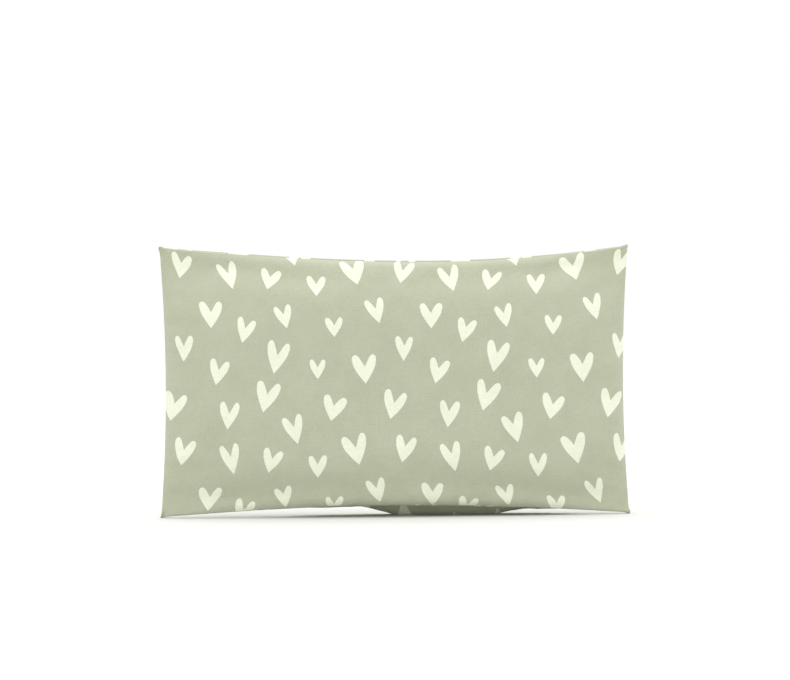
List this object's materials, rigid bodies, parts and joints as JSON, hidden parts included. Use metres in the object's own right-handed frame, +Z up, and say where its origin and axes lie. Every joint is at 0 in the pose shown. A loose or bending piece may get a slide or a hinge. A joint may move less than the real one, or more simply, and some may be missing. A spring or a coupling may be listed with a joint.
{
  "type": "eye pillow",
  "caption": "Small rectangular seed-filled eye pillow in a sewn printed canvas cover over a muslin liner bag, standing on its lower long edge.",
  "frame": {"origin": "on the floor under the middle of the pillow's bounding box, as it stands on its lower long edge", "axes": "+X along the pillow's width, the printed front faces -Y, +Z up"},
  "size_m": [0.178, 0.0292, 0.103],
  "materials": {
    "printed_canvas": "matte plain-weave cotton canvas, sage green with cream printed hearts",
    "cover_thread": "matte spun polyester sewing thread",
    "muslin": "matte unbleached muslin",
    "liner_thread": "matte spun cotton thread",
    "seed": "smooth brown flax seed"
  },
  "bodies": {
    "root": {"front_panel": "printed_canvas", "back_panel": "printed_canvas", "cover_seam_thread": "cover_thread", "closing_stitches": "cover_thread", "liner_front": "muslin", "liner_back": "muslin", "liner_seam_thread": "liner_thread", "liner_closing_stitches": "liner_thread", "seed_fill": "seed"}
  },
  "joints": []
}
